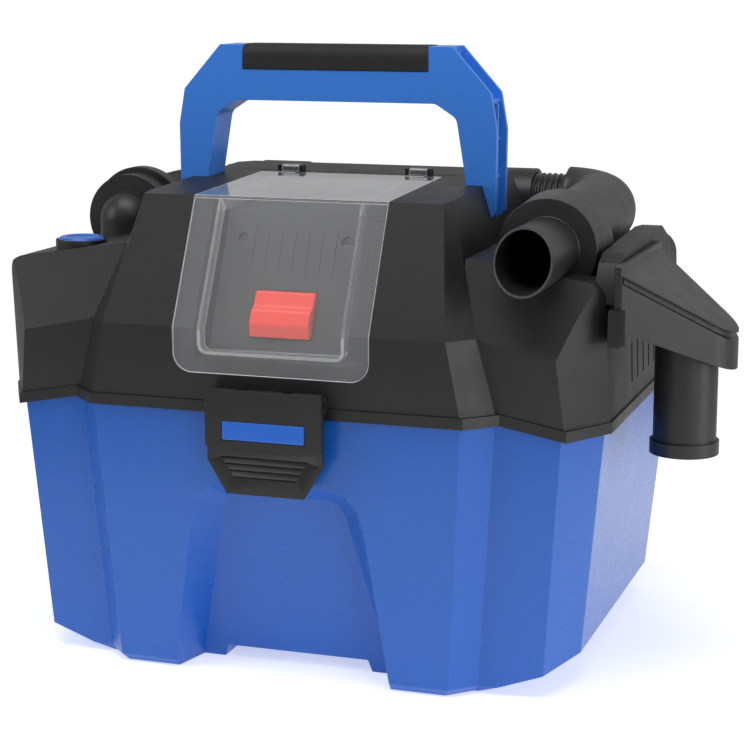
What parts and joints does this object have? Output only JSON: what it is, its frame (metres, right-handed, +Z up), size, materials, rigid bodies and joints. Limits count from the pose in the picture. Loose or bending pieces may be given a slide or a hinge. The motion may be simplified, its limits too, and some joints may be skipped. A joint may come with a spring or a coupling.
{
  "type": "shop vacuum",
  "caption": "Cordless wet and dry shop vacuum: tapered tank with corner notches, battery lid with clear door, carry handle, stowed hose and a stored wide nozzle.",
  "frame": {"origin": "on the floor under the middle of the tank", "axes": "+X to the object's right seen from the front, -Y to the front, +Z up"},
  "size_m": [0.467, 0.3378, 0.392],
  "materials": {
    "tank_blue": "injection-moulded polypropylene, satin to glossy",
    "handle_blue": "moulded polypropylene, satin",
    "inlay_blue": "moulded, satin",
    "housing_black": "moulded with a fine spark texture",
    "skirt_black": "moulded, fine texture",
    "latch_black": "moulded, satin",
    "bay_black": "moulded",
    "pack_black": "moulded, fine texture",
    "hose_black": "blow-moulded or extruded, satin",
    "grip_rubber": "overmoulded soft grip",
    "seal_rubber": "extruded seal",
    "cap_rubber": "moulded rubber",
    "door_clear": "clear moulded polycarbonate",
    "release_red": "moulded, satin",
    "pin_steel": "drawn",
    "screw_steel": "zinc plated",
    "motor_steel": "deep drawn, plated",
    "magnet": "sintered ferrite",
    "armature_copper": "wound enamelled copper",
    "impeller_white": "moulded nylon",
    "float_white": "blow-moulded",
    "cell_wrap": "shrink sleeve",
    "terminal_plastic": "moulded",
    "board_green": "laminate with solder mask",
    "lead_red": "extruded insulation",
    "filter_paper": "pleated paper"
  },
  "bodies": {
    "tank": {"tank": "tank_blue"},
    "lid": {"lid_pan": "skirt_black", "lid_gasket": "seal_rubber", "housing_screws": "screw_steel", "top_housing": "housing_black", "handle": "handle_blue", "handle_grip": "grip_rubber", "door_hinge_pins": "pin_steel", "battery_bay": "bay_black", "battery_case": "pack_black", "battery_screws": "screw_steel", "battery_cells": "cell_wrap", "battery_terminals": "terminal_plastic", "front_latch_pin": "pin_steel", "rear_latch_pin": "pin_steel", "button_bezel": "skirt_black", "power_switch": "terminal_plastic", "inlet_elbow": "hose_black", "hose_nut": "hose_black", "hose": "hose_black", "hose_cuff": "hose_black", "hose_clip_left": "housing_black", "hose_clip_right": "housing_black", "hose_adapter": "hose_black", "nozzle_bracket": "housing_black", "motor_can": "motor_steel", "motor_magnets": "magnet", "motor_bearings": "pin_steel", "fan_housing": "skirt_black", "circuit_board": "board_green", "battery_lead": "lead_red", "filter_cage": "skirt_black", "filter_element": "filter_paper", "filter_cap": "cap_rubber"},
    "door": {"battery_door": "door_clear"},
    "release": {"release_button": "release_red"},
    "latch_front": {"front_latch": "latch_black", "front_latch_inlay": "inlay_blue"},
    "latch_rear": {"rear_latch": "latch_black", "rear_latch_inlay": "inlay_blue"},
    "power": {"power_button": "inlay_blue"},
    "nozzle": {"utility_nozzle": "hose_black"},
    "rotor": {"motor_shaft": "pin_steel", "armature": "armature_copper", "impeller": "impeller_white"},
    "float": {"float_ball": "float_white"}
  },
  "joints": [
    {"name": "lid_lift", "type": "slide", "parent": "tank", "child": "lid", "axis": [0, 0, 1], "range_m": [0, 0.12]},
    {"name": "door_hinge", "type": "hinge", "parent": "lid", "child": "door", "pos_m": [0, 0.003, 0.3076], "axis": [-1, 0, 0], "range_deg": [0, 46]},
    {"name": "release_press", "type": "slide", "parent": "lid", "child": "release", "axis": [0, 1, 0], "range_m": [0, 0.003], "stiffness_N_per_m": 800},
    {"name": "front_latch_hinge", "type": "hinge", "parent": "lid", "child": "latch_front", "pos_m": [0, -0.162, 0.183], "axis": [-1, 0, 0], "range_deg": [0, 60]},
    {"name": "rear_latch_hinge", "type": "hinge", "parent": "lid", "child": "latch_rear", "pos_m": [0, 0.162, 0.183], "axis": [1, 0, 0], "range_deg": [0, 60]},
    {"name": "power_press", "type": "slide", "parent": "lid", "child": "power", "axis": [0, 0, -1], "range_m": [0, 0.003], "stiffness_N_per_m": 800},
    {"name": "nozzle_lift", "type": "slide", "parent": "lid", "child": "nozzle", "axis": [0, 0, 1], "range_m": [0, 0.06]},
    {"name": "rotor_spin", "type": "hinge", "parent": "lid", "child": "rotor", "pos_m": [0, 0.02, 0.232], "axis": [0, 0, 1], "continuous": true},
    {"name": "float_rise", "type": "slide", "parent": "lid", "child": "float", "axis": [0, 0, 1], "range_m": [0, 0.038]}
  ]
}
